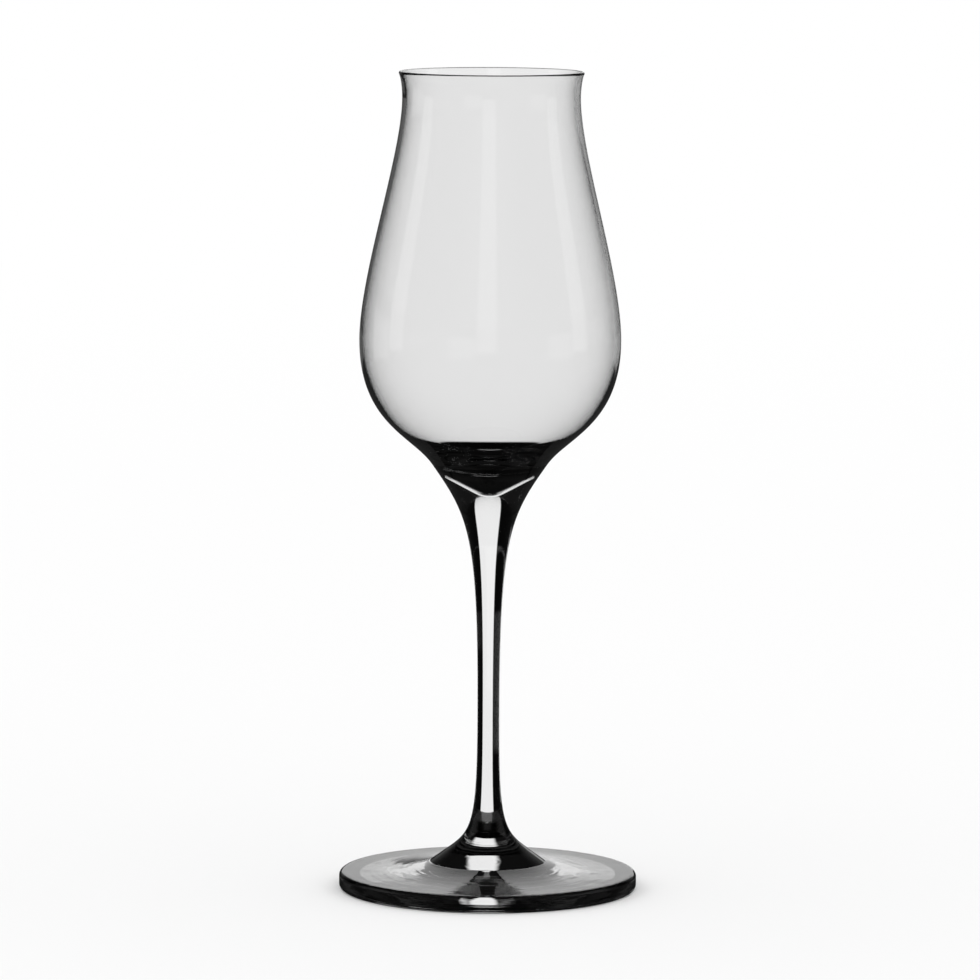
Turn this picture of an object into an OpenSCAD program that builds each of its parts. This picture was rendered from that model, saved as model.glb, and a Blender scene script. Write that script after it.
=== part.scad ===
// Digestif glass: a small tulip bowl on a drawn stem and a flat round foot, in clear glass.
// The glass stands on z = 0 with its axis on Z, and its three pieces are revolved outlines.
// They are fused hot, so each meets the next face to face, with no clearance.

/* [Bowl] */
// Outer diameter of the mouth, at the lip
mouth_d = 45.2; // [42:0.2:50]
// Outer diameter of the throat, the narrowest place under the lip
throat_d = 43.5; // [40:0.1:46]
// Outer diameter of the belly, the widest place
belly_d = 64; // [58:0.5:70]
// Height from the seam on the stem up to the belly
belly_h = 30.5; // [26:0.5:36]
// Height from the belly up to the throat
shoulder_h = 59; // [50:0.5:68]
// Height from the throat up to the top of the lip
lip_h = 6.5; // [4.5:0.1:9]
// Outward lean of the bowl's side where it runs into the lip, in degrees
lip_lean = 24; // [10:1:35]
// Wall thickness at the belly, where the blown glass is thinnest
belly_wall_t = 0.7; // [0.5:0.05:1.3]
// Wall thickness at the throat
throat_wall_t = 1; // [0.7:0.05:1.4]
// Thickness of the lip, which is rounded over its whole thickness
lip_t = 0.9; // [0.7:0.05:1.3]
// Thickness of the solid base on the axis, from the tip of the seam's cone up to the floor of the bowl
base_t = 6.7; // [5.5:0.1:10]

/* [Seam between bowl and stem] */
// Diameter of the seam's rim, where bowl and stem share one outline
seam_d = 28.3; // [24:0.1:31]
// Steepness of the outline at the seam's rim, in degrees from level
seam_steepness = 55; // [48:1:62]
// Diameter of the cone in the middle of the seam, inside its level shoulder
seam_cone_d = 14.8; // [12:0.1:18]
// Fall of the cone from the shoulder to its tip, in degrees from level
seam_fall = 44; // [36:1:50]
// Radius of the cone's rounded tip
seam_tip_r = 3; // [1.5:0.1:5]

/* [Stem] */
// Height from the crown of the foot up to the seam's rim
stem_h = 98.4; // [84:0.1:114]
// Diameter of the stem at its waist, the thinnest place
waist_d = 5.4; // [4.6:0.1:7]
// Height of the waist above the crown of the foot
waist_h = 36.6; // [31:0.1:45]
// Diameter of the flare that stands on the foot
flare_d = 28.4; // [25:0.1:32]
// Steepness of the flare where it meets the foot, in degrees from level
flare_steepness = 37.5; // [30:0.5:44]

/* [Foot] */
// Diameter of the foot
foot_d = 73.2; // [66:0.1:80]
// Height of the crown, the level seat in the middle that carries the stem
crown_h = 6.7; // [6.2:0.1:7.6]
// Steepness of the foot's top where it meets the flare, in degrees from level
top_steepness = 20; // [12:0.5:26]
// Thickness of the foot at its rim
rim_t = 4.3; // [3.6:0.1:4.8]
// Rounding radius of the rim's two edges
rim_round_r = 1.2; // [0.6:0.1:1.3]
// Width of the level ring that the glass rests on
rest_ring_w = 4; // [2:0.5:7]
// Rise of the hollow under the foot, at the axis
hollow_h = 2.4; // [1.2:0.1:3]

/* [Hidden] */
$fn = 128;

// Straight stretches in one curve of an outline, and in one rounded corner
curve_steps = 16;
round_steps = 6;

// Heights above the surface that the glass stands on
seam_z = crown_h + stem_h;
waist_z = crown_h + waist_h;
belly_z = seam_z + belly_h;
throat_z = belly_z + shoulder_h;
lip_z = throat_z + lip_h;

// Radii from the diameters above
mouth_r = mouth_d / 2;
throat_r = throat_d / 2;
belly_r = belly_d / 2;
seam_r = seam_d / 2;
seam_cone_r = seam_cone_d / 2;
waist_r = waist_d / 2;
flare_r = flare_d / 2;
foot_r = foot_d / 2;
lip_bead_r = lip_t / 2;

// How far each curve keeps its end's direction, as shares of the height that it covers
flare_waist_share = 0.88;
waist_seam_share = 0.72;
seam_stem_share = 0.21;
seam_bowl_share = 0.23;
belly_low_share = 0.67;
belly_high_share = 0.27;
throat_low_share = 0.23;
throat_high_share = 0.38;
lip_share = 0.17;
bowl_wall_share = 0.66;

// The same, as shares of the width that a curve covers
flare_share = 0.87;
bowl_floor_share = 0.48;
crown_share = 0.2;
rim_share = 0.55;
hollow_share = 0.5;

// Places that two outlines share, each as [radius, height]
seam_rim = [seam_r, seam_z];
flare_foot = [flare_r, crown_h];
waist = [waist_r, waist_z];

// The points of a cubic curve after its first end a, pulled towards b and c on its way to d
function curve(a, b, c, d) = [
    for (i = [1 : curve_steps])
        let (t = i / curve_steps, u = 1 - t)
        u * u * u * a + 3 * t * u * u * b + 3 * t * t * u * c + t * t * t * d
];

// The points of a circle's arc from one angle to another, both ends included
function arc(centre, r, from, to) = [
    for (i = [0 : round_steps])
        let (angle = from + (to - from) * i / round_steps)
        centre + r * [cos(angle), sin(angle)]
];

// A step of the given rise along a slope of the given steepness
function along(steepness, rise) = rise * [1 / tan(steepness), 1];

function reversed(points) = [for (i = [len(points) - 1 : -1 : 0]) points[i]];

// The seam from its tip out to its shoulder: a cone that points down, with a ball for its tip
seam_ball_drop = (seam_cone_r - seam_tip_r * sin(seam_fall)) * tan(seam_fall) - seam_tip_r * cos(seam_fall);
seam_ball_z = seam_z - seam_ball_drop;
seam = concat(arc([0, seam_ball_z], seam_tip_r, -90, -90 + seam_fall), [[seam_cone_r, seam_z]]);

// The stem's side, from the flare's edge up to the seam's rim
stem_side = concat(
    [flare_foot],
    curve(
        flare_foot,
        flare_foot + flare_share * (flare_r - waist_r) * [-1, tan(flare_steepness)],
        waist - [0, flare_waist_share * waist_h],
        waist),
    curve(
        waist,
        waist + [0, waist_seam_share * (seam_z - waist_z)],
        seam_rim - along(seam_steepness, seam_stem_share * (seam_z - waist_z)),
        seam_rim));

// The lip's centre, and the side of the bead that the bowl's outside and inside run into
lip_centre = [mouth_r - lip_bead_r, lip_z - lip_bead_r];
lip_outside = lip_centre + lip_bead_r * [cos(lip_lean), -sin(lip_lean)];
lip_inside = lip_centre - lip_bead_r * [cos(lip_lean), -sin(lip_lean)];
lip_run = lip_share * lip_h * [tan(lip_lean), 1];

// The bowl's side from the belly up to a point of the lip, set in from the outside by two thicknesses
function bowl_side(belly_t, throat_t, lip) =
    let (belly = [belly_r - belly_t, belly_z], throat = [throat_r - throat_t, throat_z])
    concat(
        curve(
            belly,
            belly + [0, belly_high_share * shoulder_h],
            throat - [0, throat_low_share * shoulder_h],
            throat),
        curve(
            throat,
            throat + [0, throat_high_share * lip_h],
            lip - lip_run,
            lip));

// The bowl's outside, from the seam's rim up to the lip
bowl_outside = concat(
    curve(
        seam_rim,
        seam_rim + along(seam_steepness, seam_bowl_share * belly_h),
        [belly_r, belly_z - belly_low_share * belly_h],
        [belly_r, belly_z]),
    bowl_side(0, 0, lip_outside));

// The bowl's inside, from the middle of its floor up to the lip
inner_r = belly_r - belly_wall_t;
bowl_floor_z = seam_ball_z - seam_tip_r + base_t;
bowl_inside = concat(
    [[0, bowl_floor_z]],
    curve(
        [0, bowl_floor_z],
        [bowl_floor_share * inner_r, bowl_floor_z],
        [inner_r, belly_z - bowl_wall_share * (belly_z - bowl_floor_z)],
        [inner_r, belly_z]),
    bowl_side(belly_wall_t, throat_wall_t, lip_inside));

// The lip between the bowl's outside and inside, without the two ends that they already hold
lip_arc = arc(lip_centre, lip_bead_r, -lip_lean, 180 - lip_lean);
lip_round = [for (i = [1 : round_steps - 1]) lip_arc[i]];

// The foot's rim, from the resting ring up to the top
rim_centre_r = foot_r - rim_round_r;
rim_round = concat(
    arc([rim_centre_r, rim_round_r], rim_round_r, -90, 0),
    arc([rim_centre_r, rim_t - rim_round_r], rim_round_r, 0, 90));
ring_inner_r = rim_centre_r - rest_ring_w;
rim_top = [rim_centre_r, rim_t];
foot_slope_w = rim_centre_r - flare_r;

// The hollow under the foot, from the axis out to the resting ring
foot_hollow = concat(
    [[0, hollow_h]],
    curve(
        [0, hollow_h],
        [hollow_share * ring_inner_r, hollow_h],
        [hollow_share * ring_inner_r, 0],
        [ring_inner_r, 0]));

// The foot's top, from its rim in to the flare's edge
foot_top = curve(
    rim_top,
    rim_top - [rim_share * foot_slope_w, 0],
    flare_foot + crown_share * foot_slope_w * [1, -tan(top_steepness)],
    flare_foot);

// Blown bowl with its solid base, which ends in the seam's shoulder and cone
module bowl() {
    color([0.90, 0.95, 0.97])
        rotate_extrude()
            polygon(concat(seam, [seam_rim], bowl_outside, lip_round, reversed(bowl_inside)));
}

// Solid stem, cupped at its head for the bowl's cone and flared to a disc at its foot end
module stem() {
    color([0.80, 0.87, 0.90])
        rotate_extrude()
            polygon(concat([[0, crown_h]], stem_side, reversed(seam)));
}

// Round foot with a level crown for the stem, a soft rim and a shallow hollow underneath
module foot() {
    color([0.85, 0.91, 0.94])
        rotate_extrude()
            polygon(concat(foot_hollow, rim_round, foot_top, [[0, crown_h]]));
}

bowl();
stem();
foot();
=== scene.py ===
import math

import bpy
from mathutils import Matrix, Vector


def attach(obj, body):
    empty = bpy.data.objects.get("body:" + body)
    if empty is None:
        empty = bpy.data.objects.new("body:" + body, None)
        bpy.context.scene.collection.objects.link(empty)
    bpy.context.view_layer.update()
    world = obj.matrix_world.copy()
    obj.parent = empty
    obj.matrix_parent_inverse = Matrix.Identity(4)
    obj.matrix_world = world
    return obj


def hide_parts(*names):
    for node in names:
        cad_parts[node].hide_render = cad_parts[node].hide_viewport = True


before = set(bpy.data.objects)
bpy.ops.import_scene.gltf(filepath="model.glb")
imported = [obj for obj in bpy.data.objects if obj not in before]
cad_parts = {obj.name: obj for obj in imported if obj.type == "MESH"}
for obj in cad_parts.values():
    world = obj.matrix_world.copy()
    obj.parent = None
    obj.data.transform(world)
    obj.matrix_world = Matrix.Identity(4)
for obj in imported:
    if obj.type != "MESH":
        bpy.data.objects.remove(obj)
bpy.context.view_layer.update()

# Digestif glass: a bowl, a stem and a foot of clear glass, each turned about the Z axis, and a white
# studio that stands in for the one of the photo. The glass is drawn in millimetres, and Blender works
# in metres
MM = 0.001

# Sizes of the bowl
MOUTH_R = 22.6
THROAT_R = 21.75
BELLY_R = 32.0
BELLY_H = 30.5
SHOULDER_H = 59.0
LIP_H = 6.5
LIP_LEAN = math.radians(24)
BELLY_WALL_T = 0.7
THROAT_WALL_T = 1.0
LIP_BEAD_R = 0.45
BASE_T = 6.7

# Sizes of the seam between bowl and stem
SEAM_R = 14.15
SEAM_STEEPNESS = math.radians(55)
SEAM_CONE_R = 7.4
SEAM_FALL = math.radians(44)
SEAM_TIP_R = 3.0

# Sizes of the stem
STEM_H = 98.4
WAIST_R = 2.7
WAIST_H = 36.6
FLARE_R = 14.2
FLARE_STEEPNESS = math.radians(37.5)

# Sizes of the foot
FOOT_R = 36.6
CROWN_H = 6.7
TOP_STEEPNESS = math.radians(20)
RIM_T = 4.3
RIM_ROUND_R = 1.2
REST_RING_W = 4.0
HOLLOW_H = 2.4

# How far each curve keeps its end's direction, as shares of the height or width that it covers
FLARE_WAIST_SHARE = 0.88
WAIST_SEAM_SHARE = 0.72
SEAM_STEM_SHARE = 0.21
SEAM_BOWL_SHARE = 0.23
BELLY_LOW_SHARE = 0.67
BELLY_HIGH_SHARE = 0.27
THROAT_LOW_SHARE = 0.23
THROAT_HIGH_SHARE = 0.38
LIP_SHARE = 0.17
BOWL_WALL_SHARE = 0.66
FLARE_SHARE = 0.87
BOWL_FLOOR_SHARE = 0.48
CROWN_SHARE = 0.2
RIM_SHARE = 0.55
HOLLOW_SHARE = 0.5

# Heights above the surface that the glass stands on
SEAM_Z = CROWN_H + STEM_H
WAIST_Z = CROWN_H + WAIST_H
BELLY_Z = SEAM_Z + BELLY_H
THROAT_Z = BELLY_Z + SHOULDER_H
LIP_Z = THROAT_Z + LIP_H

# Fineness of the meshes: stretches in one curve, in one rounded corner, and round the axis
CURVE_STEPS = 40
ROUND_STEPS = 10
TURN_STEPS = 360

# Faces that meet at more than this angle keep a sharp edge
SHARP_FROM = math.radians(25)


# Outlines, each a list of (radius, height) points in millimetres

def point(radius, height):
    return Vector((radius, height))


def curve(a, b, c, d):
    """The points of a cubic curve after its first end a, pulled towards b and c on its way to d."""
    points = []
    for i in range(1, CURVE_STEPS + 1):
        t = i / CURVE_STEPS
        u = 1 - t
        points.append(u * u * u * a + 3 * t * u * u * b + 3 * t * t * u * c + t * t * t * d)
    return points


def arc(centre, radius, start, end):
    """The points of a circle's arc between two angles in degrees, both ends included."""
    points = []
    for i in range(ROUND_STEPS + 1):
        angle = math.radians(start + (end - start) * i / ROUND_STEPS)
        points.append(centre + radius * point(math.cos(angle), math.sin(angle)))
    return points


def along(steepness, rise):
    """A step of the given rise along a slope of the given steepness."""
    return rise * point(1 / math.tan(steepness), 1)


# Places that the outlines share
FLARE_FOOT = point(FLARE_R, CROWN_H)
WAIST = point(WAIST_R, WAIST_Z)
SEAM_RIM = point(SEAM_R, SEAM_Z)
SEAM_BALL_DROP = (SEAM_CONE_R - SEAM_TIP_R * math.sin(SEAM_FALL)) * math.tan(SEAM_FALL) \
    - SEAM_TIP_R * math.cos(SEAM_FALL)
SEAM_BALL_Z = SEAM_Z - SEAM_BALL_DROP
SEAM_TIP_Z = SEAM_BALL_Z - SEAM_TIP_R
BOWL_FLOOR_Z = SEAM_TIP_Z + BASE_T
LIP_CENTRE = point(MOUTH_R - LIP_BEAD_R, LIP_Z - LIP_BEAD_R)
LIP_ACROSS = LIP_BEAD_R * point(math.cos(LIP_LEAN), -math.sin(LIP_LEAN))
LIP_RUN = LIP_SHARE * LIP_H * point(math.tan(LIP_LEAN), 1)
RIM_CENTRE_R = FOOT_R - RIM_ROUND_R
RING_INNER_R = RIM_CENTRE_R - REST_RING_W


def seam():
    """The seam from its tip out to its rim: a ball, a cone that points down and a level shoulder."""
    ball = arc(point(0, SEAM_BALL_Z), SEAM_TIP_R, -90, -90 + math.degrees(SEAM_FALL))
    return [point(0, SEAM_TIP_Z)] + ball[1:] + [point(SEAM_CONE_R, SEAM_Z), SEAM_RIM]


def stem_side():
    """The stem's side from the flare's edge up to the seam's rim."""
    flare_run = FLARE_SHARE * (FLARE_R - WAIST_R)
    seam_rise = SEAM_Z - WAIST_Z
    lower = curve(
        FLARE_FOOT,
        FLARE_FOOT + flare_run * point(-1, math.tan(FLARE_STEEPNESS)),
        WAIST - point(0, FLARE_WAIST_SHARE * WAIST_H),
        WAIST)
    upper = curve(
        WAIST,
        WAIST + point(0, WAIST_SEAM_SHARE * seam_rise),
        SEAM_RIM - along(SEAM_STEEPNESS, SEAM_STEM_SHARE * seam_rise),
        SEAM_RIM)
    return [FLARE_FOOT] + lower + upper


def bowl_side(belly_t, throat_t, lip):
    """The bowl's side from the belly up to a point of the lip, set in from the outside by two
    thicknesses."""
    belly = point(BELLY_R - belly_t, BELLY_Z)
    throat = point(THROAT_R - throat_t, THROAT_Z)
    shoulder = curve(
        belly,
        belly + point(0, BELLY_HIGH_SHARE * SHOULDER_H),
        throat - point(0, THROAT_LOW_SHARE * SHOULDER_H),
        throat)
    flare = curve(
        throat,
        throat + point(0, THROAT_HIGH_SHARE * LIP_H),
        lip - LIP_RUN,
        lip)
    return shoulder + flare


def bowl_outside():
    """The bowl's outside after the seam's rim, up to the lip."""
    low = curve(
        SEAM_RIM,
        SEAM_RIM + along(SEAM_STEEPNESS, SEAM_BOWL_SHARE * BELLY_H),
        point(BELLY_R, BELLY_Z - BELLY_LOW_SHARE * BELLY_H),
        point(BELLY_R, BELLY_Z))
    return low + bowl_side(0, 0, LIP_CENTRE + LIP_ACROSS)


def bowl_inside():
    """The bowl's inside from the middle of its floor up to the lip."""
    inner_r = BELLY_R - BELLY_WALL_T
    floor_middle = point(0, BOWL_FLOOR_Z)
    low = curve(
        floor_middle,
        point(BOWL_FLOOR_SHARE * inner_r, BOWL_FLOOR_Z),
        point(inner_r, BELLY_Z - BOWL_WALL_SHARE * (BELLY_Z - BOWL_FLOOR_Z)),
        point(inner_r, BELLY_Z))
    return [floor_middle] + low + bowl_side(BELLY_WALL_T, THROAT_WALL_T, LIP_CENTRE - LIP_ACROSS)


def lip_round():
    """The lip between the bowl's outside and inside, without the two ends that they already hold."""
    lean = math.degrees(LIP_LEAN)
    return arc(LIP_CENTRE, LIP_BEAD_R, -lean, 180 - lean)[1:-1]


def foot_hollow():
    """The hollow under the foot, from the axis out to the resting ring."""
    middle = point(0, HOLLOW_H)
    return [middle] + curve(
        middle,
        point(HOLLOW_SHARE * RING_INNER_R, HOLLOW_H),
        point(HOLLOW_SHARE * RING_INNER_R, 0),
        point(RING_INNER_R, 0))


def rim_round():
    """The foot's rim from the resting ring up to the top."""
    low = arc(point(RIM_CENTRE_R, RIM_ROUND_R), RIM_ROUND_R, -90, 0)
    high = arc(point(RIM_CENTRE_R, RIM_T - RIM_ROUND_R), RIM_ROUND_R, 0, 90)
    return low + high


def foot_top():
    """The foot's top after its rim, in to the flare's edge."""
    rim_top = point(RIM_CENTRE_R, RIM_T)
    slope_w = RIM_CENTRE_R - FLARE_R
    return curve(
        rim_top,
        rim_top - point(RIM_SHARE * slope_w, 0),
        FLARE_FOOT + CROWN_SHARE * slope_w * point(1, -math.tan(TOP_STEEPNESS)),
        FLARE_FOOT)


# Meshes

def add_ring(verts, radius, height):
    """Adds one level ring to verts, or one point where it lies on the axis, and gives its numbers."""
    first = len(verts)
    if radius == 0:
        verts.append((0, 0, height * MM))
        return [first] * TURN_STEPS
    for i in range(TURN_STEPS):
        turn = 2 * math.pi * i / TURN_STEPS
        verts.append((radius * math.cos(turn) * MM, radius * math.sin(turn) * MM, height * MM))
    return list(range(first, first + TURN_STEPS))


def faces_between(low, high):
    """The faces between two rings. They are triangles where one ring is a point on the axis."""
    faces = []
    for i in range(TURN_STEPS):
        j = (i + 1) % TURN_STEPS
        corners = [low[i], low[j], high[j], high[i]]
        faces.append([c for k, c in enumerate(corners) if c != corners[k - 1]])
    return faces


def turned(name, materials, runs):
    """A closed mesh turned about the axis. Each run is (points, material), going round the outline
    anticlockwise, and starts at the last point of the run before it."""
    verts = []
    rings = []
    marks = []
    for points, material in runs:
        for radius, height in points:
            rings.append(add_ring(verts, radius, height))
            marks.append(materials.index(material))
    faces = []
    face_marks = []
    for low, high, mark in zip(rings, rings[1:], marks[1:]):
        faces += faces_between(low, high)
        face_marks += [mark] * TURN_STEPS
    mesh = bpy.data.meshes.new(name)
    mesh.from_pydata(verts, [], faces)
    for material in materials:
        mesh.materials.append(material)
    mesh.polygons.foreach_set("material_index", face_marks)
    mesh.shade_smooth()
    mesh.set_sharp_from_angle(angle=SHARP_FROM)
    mesh.validate()
    piece = bpy.data.objects.new(name, mesh)
    bpy.context.scene.collection.objects.link(piece)
    return piece


# Materials

class Nodes:
    """Short calls for building one node tree."""

    def __init__(self, tree):
        self.tree = tree
        tree.nodes.clear()

    def add(self, kind, settings=None, **inputs):
        """A node with its settings, and its inputs by name, with _ for a space."""
        node = self.tree.nodes.new(kind)
        for name, value in (settings or {}).items():
            setattr(node, name, value)
        for name, value in inputs.items():
            self.put(node, name.replace("_", " "), value)
        return node

    def put(self, node, name, value):
        """Sets an input to a value, or links it to another node's output."""
        socket = node.inputs[name]
        if isinstance(value, bpy.types.NodeSocket):
            self.tree.links.new(value, socket)
        else:
            socket.default_value = value

    def math(self, operation, *values):
        node = self.add("ShaderNodeMath", {"operation": operation})
        for i, value in enumerate(values):
            self.put(node, i, value)
        return node.outputs[0]

    def product(self, first, *others):
        for value in others:
            first = self.math("MULTIPLY", first, value)
        return first

    def inverse(self, share):
        """0 where share is 1, and 1 where it is 0."""
        return self.math("SUBTRACT", 1.0, share)

    def at_least(self, count, least):
        """1 where a whole number is least or more, 0 elsewhere."""
        return self.math("GREATER_THAN", count, least - 0.5)

    def at_most(self, count, most):
        """1 where a whole number is most or less, 0 elsewhere."""
        return self.math("LESS_THAN", count, most + 0.5)

    def smooth(self, value, low, high):
        """0 where value is under low, 1 where it is over high, and smooth in between."""
        node = self.add("ShaderNodeMapRange", {"interpolation_type": "SMOOTHSTEP"})
        self.put(node, "Value", value)
        self.put(node, "From Min", low)
        self.put(node, "From Max", high)
        return node.outputs["Result"]

    def fade(self, value, low, high):
        """1 where value is under low, 0 where it is over high, and smooth in between."""
        return self.inverse(self.smooth(value, low, high))

    def between(self, value, start, end):
        """1 where value lies between two soft edges, each given as (low, high)."""
        return self.product(self.smooth(value, *start), self.fade(value, *end))

    def mix(self, share, first, second):
        """A number that is first where share is 0 and second where it is 1."""
        node = self.add("ShaderNodeMix", {"data_type": "FLOAT"})
        self.put(node, 0, share)
        self.put(node, 2, first)
        self.put(node, 3, second)
        return node.outputs[0]

    def blend(self, share, first, second):
        """A shader that is first where share is 0 and second where it is 1."""
        node = self.add("ShaderNodeMixShader")
        self.put(node, 0, share)
        self.put(node, 1, first.outputs[0])
        self.put(node, 2, second.outputs[0])
        return node

    def length(self, vector):
        node = self.add("ShaderNodeVectorMath", {"operation": "LENGTH"})
        self.put(node, 0, vector)
        return node.outputs["Value"]

    def bump(self, height, distance, **earlier):
        """The normal of a surface that height raises by up to distance, on top of an earlier Normal."""
        node = self.add("ShaderNodeBump", Strength=1.0, Distance=distance, Height=height, **earlier)
        return node.outputs["Normal"]

    def light_path(self):
        return self.add("ShaderNodeLightPath").outputs


GLASS_IOR = 1.52

# Painted shade in the stem, close under the seam, where the glass is made dark: its height and that of its
# darkest part, in millimetres, and the share of light that the darkest part lets in
SHADE_ZONE_H = 3.2
DARKEST_H = 0.4 * SHADE_ZONE_H
SHADE_ZONE_CLARITY = 0.005

# Cone of the seam: the share of light that crosses it, which paints shade, how bright its painted glowing
# line is, and how far from edge on the line starts to fade and is gone
CONE_SHADE_CLARITY = 0.4
LINE_LIGHT = 0.85
LINE_REACH = 0.27
LINE_END = 1.3 * LINE_REACH


def grey(value):
    return (value, value, value, 1)


def new_tree(name):
    """A new material and the calls that fill its node tree."""
    material = bpy.data.materials.new(name)
    material.use_nodes = True
    return material, Nodes(material.node_tree)


def axis_distance(nodes, place):
    """How far a place of the glass is from its axis, in metres."""
    level = nodes.add("ShaderNodeVectorMath", {"operation": "MULTIPLY"})
    nodes.put(level, 0, place)
    nodes.put(level, 1, (1, 1, 0))
    return nodes.length(level.outputs["Vector"])


def stem_painted_shade(nodes, place):
    """Painted shade: the share of light that the stem lets in, little close under the seam, and all of it
    lower down.
    """
    height = nodes.add("ShaderNodeSeparateXYZ", Vector=place).outputs["Z"]
    # Painted shade: the glass turns dark close under the seam
    darkness = nodes.smooth(height, (SEAM_Z - SHADE_ZONE_H) * MM, (SEAM_Z - DARKEST_H) * MM)
    return nodes.mix(darkness, 1.0, SHADE_ZONE_CLARITY)


def glass(name, wave_h, wave_size, ring_h=0, ring_size=0, painted_shade=None):
    """Clear glass with a slow waviness in its surface, and faint turned rings where they have a height.
    Heights and sizes are in millimetres. Where painted shade is given, it works out the glass's colour, which
    darkens the glass as painted shade."""
    material, nodes = new_tree(name)
    place = nodes.add("ShaderNodeTexCoord").outputs["Object"]
    waves = nodes.add("ShaderNodeTexNoise", Vector=place, Scale=1 / (wave_size * MM), Detail=1.0)
    normal = nodes.bump(waves.outputs["Fac"], wave_h * MM)
    if ring_h:
        rings = nodes.add(
            "ShaderNodeTexNoise", {"noise_dimensions": "1D"},
            W=axis_distance(nodes, place), Scale=1 / (ring_size * MM), Detail=2.0)
        normal = nodes.bump(rings.outputs["Fac"], ring_h * MM, Normal=normal)
    shader = nodes.add(
        "ShaderNodeBsdfPrincipled", Base_Color=painted_shade(nodes, place) if painted_shade else grey(1),
        IOR=GLASS_IOR, Roughness=0.0, Transmission_Weight=1.0, Normal=normal)
    nodes.add("ShaderNodeOutputMaterial", Surface=shader.outputs[0])
    return material


def clear_weld():
    """A face where two pieces are fused, which light crosses as if it were not there."""
    material, nodes = new_tree("clear_weld")
    clear = nodes.add("ShaderNodeBsdfTransparent")
    nodes.add("ShaderNodeOutputMaterial", Surface=clear.outputs[0])
    return material


def painted_weld_light():
    """The fused cone of the seam, which lets through only part of the light behind it as painted shade, and
    shows as a painted glowing pale line of even width where it is seen edge on. Reflections of it show no
    line."""
    material, nodes = new_tree("painted_weld_light")
    place = nodes.add("ShaderNodeTexCoord").outputs["Object"]
    # Painted shade: the cone lets through only part of the light behind it
    clear = nodes.add("ShaderNodeBsdfTransparent", Color=grey(CONE_SHADE_CLARITY))
    # Painted glow: an emission draws the pale line, which no lamp lights
    pale = nodes.add("ShaderNodeEmission", Color=grey(1), Strength=LINE_LIGHT)
    facing = nodes.add("ShaderNodeLayerWeight", Blend=0.5).outputs["Facing"]
    radius = nodes.math("MAXIMUM", axis_distance(nodes, place), SEAM_TIP_R * MM)
    width = nodes.math("SQRT", nodes.math("DIVIDE", radius, SEAM_CONE_R * MM))
    from_edge_on = nodes.product(nodes.inverse(facing), width)
    direct = nodes.at_most(nodes.light_path()["Glossy Depth"], 0)
    line = nodes.product(nodes.fade(from_edge_on, LINE_REACH, LINE_END), direct)
    nodes.add("ShaderNodeOutputMaterial", Surface=nodes.blend(line, clear, pale).outputs[0])
    return material


# The three pieces of the glass

bowl_glass = glass("bowl_glass", wave_h=0.02, wave_size=30)
stem_glass = glass("stem_glass", wave_h=0.01, wave_size=20, painted_shade=stem_painted_shade)
foot_glass = glass("foot_glass", wave_h=0.06, wave_size=8, ring_h=0.05, ring_size=3)
cone_painted_light = painted_weld_light()
clear_face = clear_weld()

bowl = turned("blown_bowl", [bowl_glass, cone_painted_light, clear_face], [
    (seam()[:-1], cone_painted_light),
    ([SEAM_RIM], clear_face),
    (bowl_outside() + lip_round() + bowl_inside()[::-1], bowl_glass)])
stem = turned("drawn_stem", [stem_glass, clear_face], [
    ([point(0, CROWN_H), FLARE_FOOT], clear_face),
    (stem_side()[1:], stem_glass),
    (seam()[-2::-1], clear_face)])
foot = turned("pressed_foot", [foot_glass, clear_face], [
    (foot_hollow() + rim_round() + foot_top(), foot_glass),
    ([point(0, CROWN_H)], clear_face)])

for piece, node in ((bowl, "bowl"), (stem, "stem"), (foot, "foot")):
    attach(piece, "root")
    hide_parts(node)


# Places round the axis, for the floor and the studio

def double_angle(nodes, x, y):
    """The sine and cosine of twice the angle at which x and y lie round the axis."""
    x2 = nodes.product(x, x)
    y2 = nodes.product(y, y)
    level = nodes.math("ADD", x2, y2)
    sine = nodes.math("DIVIDE", nodes.product(x, y, 2.0), level)
    cosine = nodes.math("DIVIDE", nodes.math("SUBTRACT", y2, x2), level)
    return sine, cosine


def corner_share(nodes, x, y):
    """0 in front of, behind and beside the axis, and 1 half way between those four directions."""
    sine, _ = double_angle(nodes, x, y)
    return nodes.product(sine, sine)


def right_share(nodes, x, y):
    """1 to the right of each of those four directions, and -1 to its left."""
    sine, cosine = double_angle(nodes, x, y)
    return nodes.product(sine, cosine, 2.0)


# Floor

# Half width of the floor, and the soft edge past which the camera sees it as white, in metres
FLOOR_REACH = 30.0
WHITE_EDGE = (0.5, 2.0)

# Painted shade on the floor that only the glass shows. One is a painted shadow under the foot, with its soft
# edge in metres.
# Two more are dark patches of painted shade behind on the corners, with their soft edge as a corner share and
# their reach in metres
FOOT_SHADOW_EDGE = (0.040, 0.044)
CORNER_SHADE_EDGE = (0.6, 0.7)
CORNER_SHADE_R = 0.12

# How pale the floor's card and the painted shadow under the foot are
CARD_GREY = 0.9
FOOT_SHADOW_GREY = 0.02


def floor_for_glass(nodes, place, distance):
    """What the glass shows of the floor: nothing but its painted shade, a painted shadow under the foot and
    dark patches on the corners behind.
    """
    axes = nodes.add("ShaderNodeSeparateXYZ", Vector=place).outputs
    clear = nodes.add("ShaderNodeBsdfTransparent")
    # Painted shadow under the foot, seen only through the glass
    shade = nodes.add("ShaderNodeBsdfDiffuse", Color=grey(FOOT_SHADOW_GREY))
    # Painted shade behind on the corners, seen only through the glass
    black = nodes.add("ShaderNodeBsdfDiffuse", Color=grey(0))
    corners = nodes.product(
        nodes.smooth(corner_share(nodes, axes["X"], axes["Y"]), *CORNER_SHADE_EDGE),
        nodes.math("GREATER_THAN", axes["Y"], 0.0),
        nodes.math("LESS_THAN", distance, CORNER_SHADE_R))
    return nodes.blend(nodes.fade(distance, *FOOT_SHADOW_EDGE), nodes.blend(corners, clear, black), shade)


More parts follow.
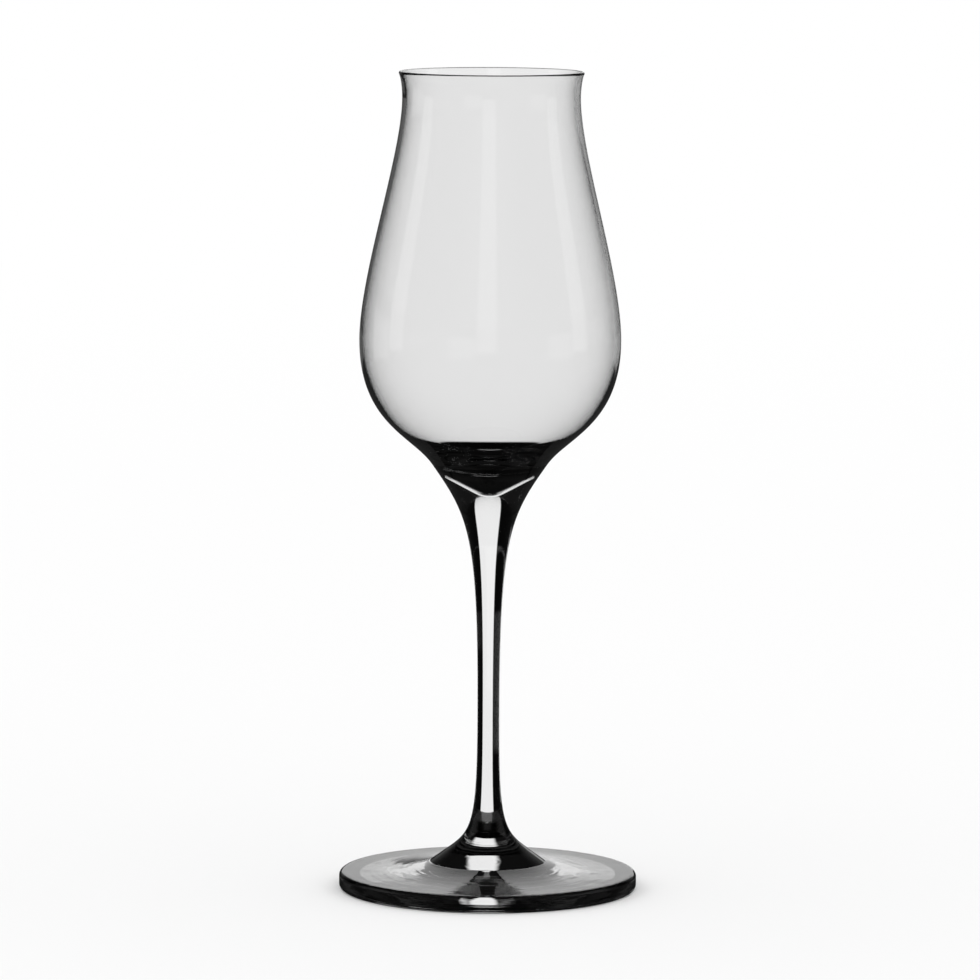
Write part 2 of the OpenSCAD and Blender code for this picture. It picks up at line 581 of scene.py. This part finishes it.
def floor_material():
    """Pale card that keeps the soft shadow of the glass and fades into the white of the studio."""
    material, nodes = new_tree("floor_card")
    paths = nodes.light_path()
    place = nodes.add("ShaderNodeNewGeometry").outputs["Position"]
    distance = nodes.length(place)
    card = nodes.add("ShaderNodeBsdfDiffuse", Color=grey(CARD_GREY))
    white = nodes.add("ShaderNodeEmission", Strength=1.0)
    far = nodes.product(nodes.smooth(distance, *WHITE_EDGE), paths["Is Camera Ray"])
    by_glass = nodes.math("MAXIMUM", paths["Is Transmission Ray"], paths["Is Glossy Ray"])
    surface = nodes.blend(by_glass, nodes.blend(far, card, white), floor_for_glass(nodes, place, distance))
    nodes.add("ShaderNodeOutputMaterial", Surface=surface.outputs[0])
    return material


def floor():
    mesh = bpy.data.meshes.new("floor")
    reach = FLOOR_REACH
    corners = [(-reach, -reach, 0), (reach, -reach, 0), (reach, reach, 0), (-reach, reach, 0)]
    mesh.from_pydata(corners, [], [(0, 1, 2, 3)])
    mesh.materials.append(floor_material())
    card = bpy.data.objects.new("floor", mesh)
    bpy.context.scene.collection.objects.link(card)


# Studio

# The cards stand turned by this much about the axis
CARD_TURN = math.radians(3)

# Strengths of light: what the camera sees behind the glass, what lights the floor, and the cards
CAMERA_LIGHT = 1.0
FLOOR_LIGHT = 1.1
CARD_LIGHT = 0.9
GROUND_LIGHT = 0.04
INNER_LIGHT = 0.005
RIGHT_LIGHT = 0.55
LEFT_LIGHT = 0.16
DIM_LIGHT = 0.25
STRIP_SIDE_LIGHT = 0.2

# Soft edges of what is seen straight through, each as (low, high). Tops and bottoms are the upward part
# of a direction, from -1 straight down to 1 straight up, and the other edges are its corner share
BAND_BOTTOM = (-0.6, -0.5)
BAND_TOP = (0.75, 0.8)
AXIS_CARD_EDGE = (0.35, 0.42)
FRONT_ROW_TOP = (-0.16, -0.12)
FRONT_ROW_EDGE = (0.58, 0.65)
BACK_ROW_TOP = (-0.36, -0.33)
BACK_ROW_EDGE = (0.85, 0.9)

# Soft edges of what is seen by way of a reflection inside the glass, as above, except that
# SIDE_CARD_EDGE is a right share
MIDDLE_CARD_EDGE = (0.05, 0.13)
MIDDLE_CARD_BOTTOM = (-0.156, -0.1)
MIDDLE_CARD_TOP = (0.8, 0.9)
SIDE_CARD_EDGE = (0.5, 0.8)
SIDE_CARD_TOP = (0.04, 0.07)
RIGHT_CARD_BOTTOM = (-0.24, -0.2)
LEFT_CARD_BOTTOM = (-0.07, -0.04)

# Soft edges of what the outside mirrors. Tops and bottoms are as above, and the others are the sideways
# part of a direction or, for TALL_CARD_BACK, its backward part
TALL_CARD_EDGE = (0.22, 0.27)
TALL_CARD_BACK = (0.27, 0.33)
DIM_TOP = (0.58, 0.68)
LOW_TOP = (0.09, 0.13)
STRIP_EDGE = (0.06, 0.1)
STRIP_BOTTOM = (-0.12, -0.08)
STRIP_SIDE_INNER = (0.18, 0.24)
STRIP_SIDE_OUTER = (0.5, 0.6)
STRIP_SIDE_BOTTOM = (-0.15, -0.12)
STRIP_SIDE_TOP = (-0.075, -0.055)

# A ray crosses this many surfaces of a solid piece, or of the hollow bowl
SOLID_CROSSINGS = 2
HOLLOW_CROSSINGS = 4


class Way:
    """The direction in which a ray leaves, told by its place among the cards."""

    def __init__(self, nodes):
        way = nodes.add("ShaderNodeTexCoord").outputs["Generated"]
        rotate = nodes.add("ShaderNodeVectorRotate", {"rotation_type": "Z_AXIS"}, Vector=way, Angle=CARD_TURN)
        axes = nodes.add("ShaderNodeSeparateXYZ", Vector=rotate.outputs["Vector"]).outputs
        self.height = axes["Z"]
        self.backwards = axes["Y"]
        self.behind = nodes.math("GREATER_THAN", axes["Y"], 0.0)
        self.sideways = nodes.math("ABSOLUTE", axes["X"])
        self.corner = corner_share(nodes, axes["X"], axes["Y"])
        self.right = right_share(nodes, axes["X"], axes["Y"])


def straight_light(nodes, way, crossings):
    """What is seen straight through: cards on the four axes, which low in front give way to a row on the
    corners. Low behind, a row on the corners joins them. The hollow bowl shows a card all round."""
    low_front = nodes.product(nodes.inverse(way.behind), nodes.fade(way.height, *FRONT_ROW_TOP))
    axis_cards = nodes.fade(way.corner, *AXIS_CARD_EDGE)
    cards = nodes.mix(low_front, axis_cards, nodes.smooth(way.corner, *FRONT_ROW_EDGE))
    back_row = nodes.product(
        way.behind, nodes.fade(way.height, *BACK_ROW_TOP), nodes.smooth(way.corner, *BACK_ROW_EDGE))
    hollow = nodes.at_least(crossings, HOLLOW_CROSSINGS)
    shown = nodes.math("MAXIMUM", nodes.math("MAXIMUM", cards, back_row), hollow)
    return nodes.product(nodes.between(way.height, BAND_BOTTOM, BAND_TOP), CARD_LIGHT, shown)


def inner_light(nodes, way, reflections, crossings):
    """What is seen by way of the glass's inner reflections: after one of them in a solid piece, a card in
    the middle and dimmer ones to its right and left, and otherwise next to nothing."""
    middle = nodes.product(
        nodes.fade(way.corner, *MIDDLE_CARD_EDGE),
        nodes.between(way.height, MIDDLE_CARD_BOTTOM, MIDDLE_CARD_TOP),
        CARD_LIGHT)
    on_right = nodes.product(
        nodes.smooth(way.right, *SIDE_CARD_EDGE),
        nodes.between(way.height, RIGHT_CARD_BOTTOM, SIDE_CARD_TOP),
        RIGHT_LIGHT)
    on_left = nodes.product(
        nodes.smooth(nodes.product(way.right, -1.0), *SIDE_CARD_EDGE),
        nodes.between(way.height, LEFT_CARD_BOTTOM, SIDE_CARD_TOP),
        LEFT_LIGHT)
    once = nodes.product(nodes.at_most(reflections, 1), nodes.at_most(crossings, SOLID_CROSSINGS))
    cards = nodes.math("ADD", middle, nodes.math("ADD", on_right, on_left))
    return nodes.math("ADD", INNER_LIGHT, nodes.product(once, cards))


def mirrored_light(nodes, way):
    """What the outside of the glass mirrors: a tall card behind it among dim ones all round and, lower
    down, a narrow strip behind it with a dimmer card on each side."""
    tall = nodes.product(
        nodes.fade(way.sideways, *TALL_CARD_EDGE), nodes.smooth(way.backwards, *TALL_CARD_BACK), CARD_LIGHT)
    dim = nodes.product(nodes.fade(way.height, *DIM_TOP), nodes.fade(way.corner, 0.0, 1.0), DIM_LIGHT)
    strip = nodes.product(
        nodes.fade(way.sideways, *STRIP_EDGE), nodes.smooth(way.height, *STRIP_BOTTOM), CARD_LIGHT)
    strip_sides = nodes.product(
        nodes.between(way.sideways, STRIP_SIDE_INNER, STRIP_SIDE_OUTER),
        nodes.between(way.height, STRIP_SIDE_BOTTOM, STRIP_SIDE_TOP),
        STRIP_SIDE_LIGHT)
    low_cards = nodes.product(nodes.math("MAXIMUM", strip, strip_sides), way.behind)
    low = nodes.math("MAXIMUM", low_cards, GROUND_LIGHT)
    return nodes.mix(nodes.smooth(way.height, *LOW_TOP), low, nodes.math("MAXIMUM", tall, dim))


def studio():
    """Soft white studio for photographing glass: pale cards round it, with black between them."""
    world = bpy.data.worlds.new("studio")
    world.use_nodes = True
    bpy.context.scene.world = world
    nodes = Nodes(world.node_tree)
    paths = nodes.light_path()
    reflections = paths["Glossy Depth"]
    crossings = paths["Transmission Depth"]
    way = Way(nodes)
    straight = straight_light(nodes, way, crossings)
    inner = inner_light(nodes, way, reflections, crossings)
    through = nodes.mix(nodes.at_least(reflections, 1), straight, inner)

    # A refracted ray counts as glossy too, so the transmission test comes after the glossy one
    strength = nodes.mix(paths["Is Glossy Ray"], FLOOR_LIGHT, mirrored_light(nodes, way))
    strength = nodes.mix(paths["Is Transmission Ray"], strength, through)
    strength = nodes.mix(paths["Is Camera Ray"], strength, CAMERA_LIGHT)
    light = nodes.add("ShaderNodeBackground", Color=grey(1), Strength=strength)
    nodes.add("ShaderNodeOutputWorld", Surface=light.outputs[0])


floor()
studio()


# Camera, with its places in metres

CAMERA_DISTANCE = 1.515
CAMERA_HEIGHT = 0.2701
AIM = Vector((0.00011, 0, 0.09866))
FOCAL_MM = 228.7
SENSOR_MM = 36
ROLL = math.radians(0.3)
SIGHT_REACH = 100


def camera():
    data = bpy.data.cameras.new("camera")
    data.lens = FOCAL_MM
    data.sensor_width = SENSOR_MM
    data.clip_end = SIGHT_REACH
    eye = bpy.data.objects.new("camera", data)
    eye.location = (0, -CAMERA_DISTANCE, CAMERA_HEIGHT)
    turn = (AIM - eye.location).to_track_quat("-Z", "Y").to_matrix()
    eye.rotation_euler = (turn @ Matrix.Rotation(ROLL, 3, "Z")).to_euler()
    bpy.context.scene.collection.objects.link(eye)
    bpy.context.scene.camera = eye


camera()

# Light is turned back many times inside the solid glass
BOUNCES = 32

scene = bpy.context.scene
scene.view_settings.view_transform = "Standard"
scene.cycles.max_bounces = BOUNCES
scene.cycles.transmission_bounces = BOUNCES
scene.cycles.glossy_bounces = BOUNCES
scene.cycles.transparent_max_bounces = BOUNCES
